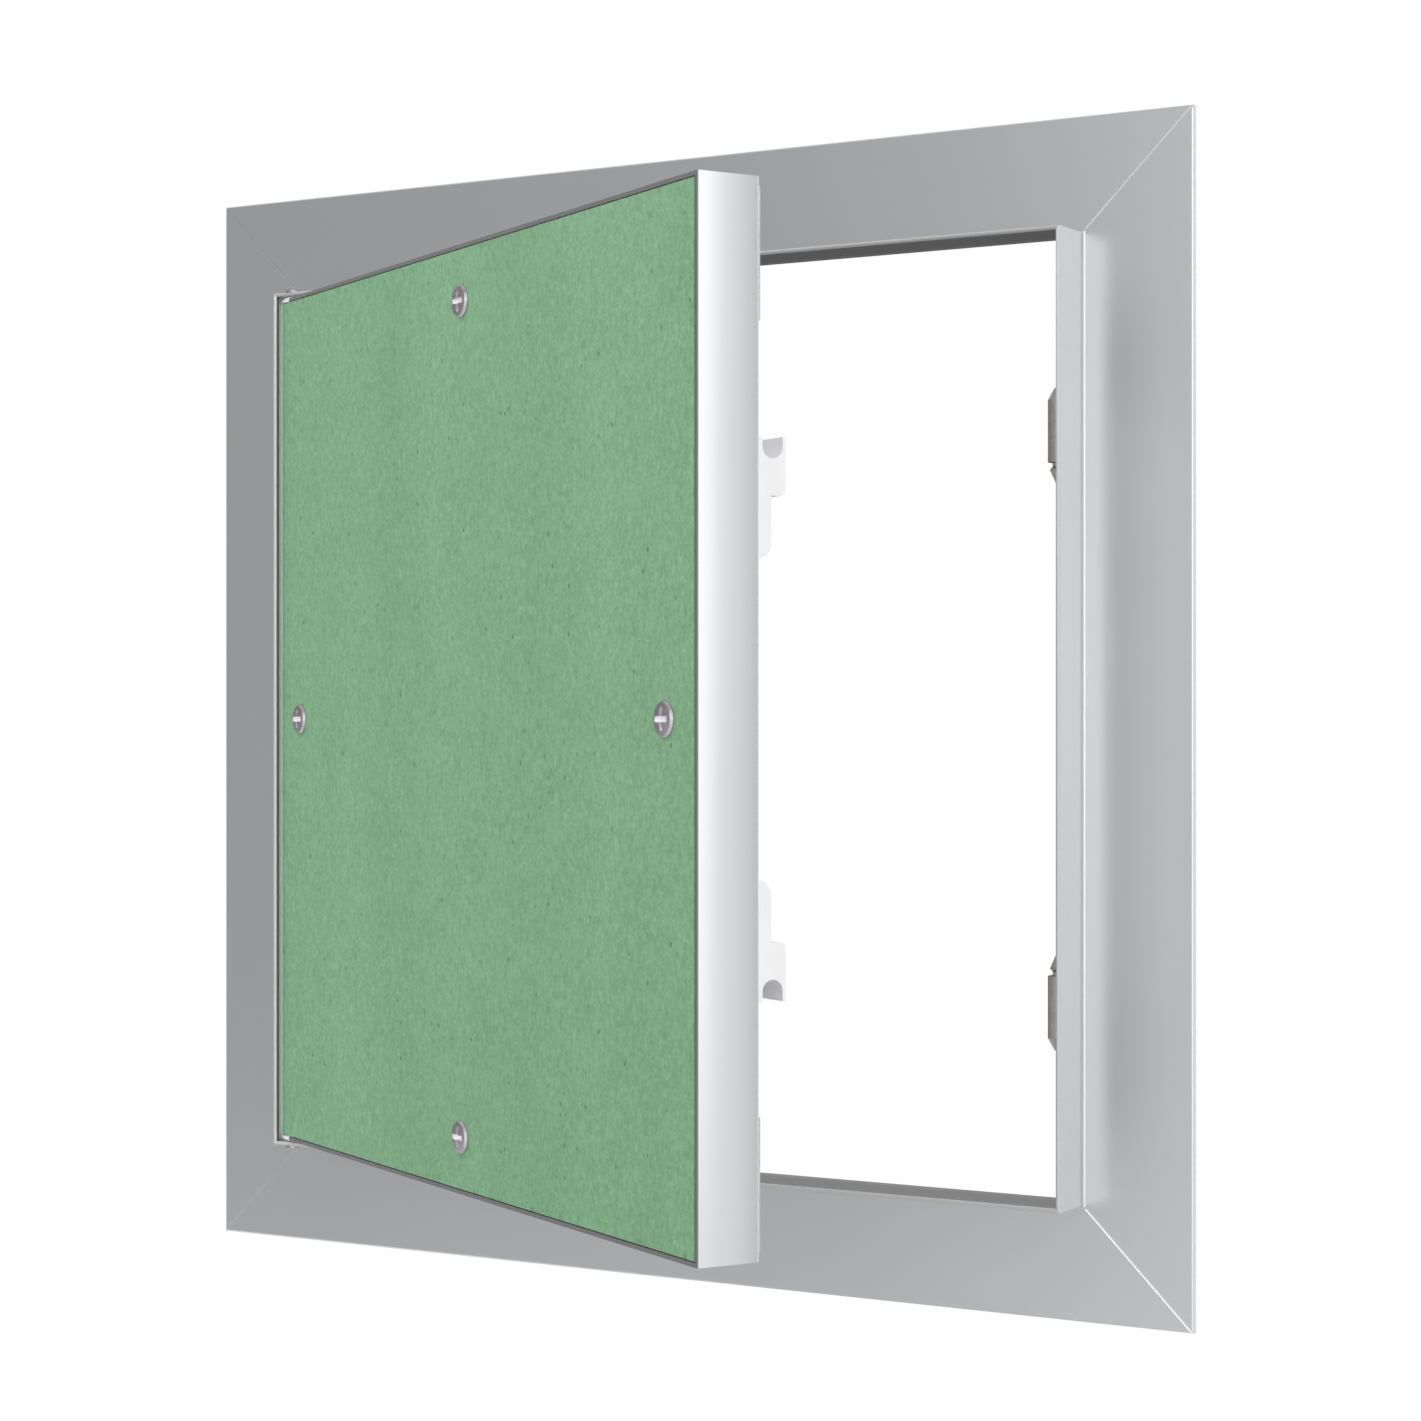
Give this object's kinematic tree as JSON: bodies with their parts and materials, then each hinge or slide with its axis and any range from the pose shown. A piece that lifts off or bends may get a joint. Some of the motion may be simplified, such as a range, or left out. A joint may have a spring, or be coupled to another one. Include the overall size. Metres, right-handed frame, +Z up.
{
  "type": "access panel",
  "caption": "Square access panel: mitred aluminium frame with a back flange, and a hinged door of green plasterboard in an aluminium edge, held shut by sprung catches.",
  "frame": {"origin": "middle of the opening, on the front face of the flange", "axes": "+X to the right seen from the room, +Y into the void behind the panel, +Z up"},
  "size_m": [0.2528, 0.1207, 0.2528],
  "materials": {
    "frame_aluminium": "satin anodised",
    "edge_aluminium": "satin anodised",
    "key_steel": "zinc plated",
    "plate_steel": "zinc plated",
    "nut_steel": "zinc plated",
    "small_screw_zinc": "zinc plated",
    "board_screw_steel": "zinc plated",
    "pin_steel": "bright",
    "catch_zinc": "dull cast zinc",
    "plunger_steel": "turned",
    "spring_steel": "drawn wire",
    "gypsum": "matte gypsum",
    "green_paper": "matte fibrous paper",
    "grey_paper": "matte fibrous paper",
    "bush_nylon": "moulded",
    "strike_nylon": "moulded"
  },
  "bodies": {
    "frame": {"frame_top": "frame_aluminium", "frame_bottom": "frame_aluminium", "frame_left": "frame_aluminium", "frame_right": "frame_aluminium", "corner_key_top_right": "key_steel", "corner_key_top_left": "key_steel", "corner_key_bottom_left": "key_steel", "corner_key_bottom_right": "key_steel", "key_screws": "small_screw_zinc", "hinge_pin_upper": "pin_steel", "hinge_pin_lower": "pin_steel", "catch_body_upper": "catch_zinc", "catch_body_lower": "catch_zinc", "catch_spring_upper": "spring_steel", "catch_spring_lower": "spring_steel", "slot_nut_upper": "nut_steel", "slot_nut_lower": "nut_steel", "catch_screws": "small_screw_zinc"},
    "door": {"door_edge_top": "edge_aluminium", "door_edge_bottom": "edge_aluminium", "door_edge_left": "edge_aluminium", "door_edge_right": "edge_aluminium", "door_plate_top_right": "plate_steel", "door_plate_top_left": "plate_steel", "door_plate_bottom_left": "plate_steel", "door_plate_bottom_right": "plate_steel", "plate_screws": "small_screw_zinc", "board_core": "gypsum", "board_face_paper": "green_paper", "board_back_paper": "grey_paper", "board_screws": "board_screw_steel", "hinge_bush_upper": "bush_nylon", "hinge_bush_lower": "bush_nylon", "strike_upper": "strike_nylon", "strike_lower": "strike_nylon", "strike_screws": "small_screw_zinc"},
    "plunger_upper": {"catch_plunger_upper": "plunger_steel"},
    "plunger_lower": {"catch_plunger_lower": "plunger_steel"}
  },
  "joints": [
    {"name": "door_swing", "type": "hinge", "parent": "frame", "child": "door", "pos_m": [-0.0972, -0.0107, 0], "axis": [0, 0, -1], "range_deg": [-30, 75]},
    {"name": "upper_catch", "type": "slide", "parent": "frame", "child": "plunger_upper", "axis": [0, 0, 1], "range_m": [0, 0.0034], "stiffness_N_per_m": 600, "springref_m": -0.004, "deforming": ["catch_spring_upper"]},
    {"name": "lower_catch", "type": "slide", "parent": "frame", "child": "plunger_lower", "axis": [0, 0, -1], "range_m": [0, 0.0034], "stiffness_N_per_m": 600, "springref_m": -0.004, "deforming": ["catch_spring_lower"]}
  ]
}
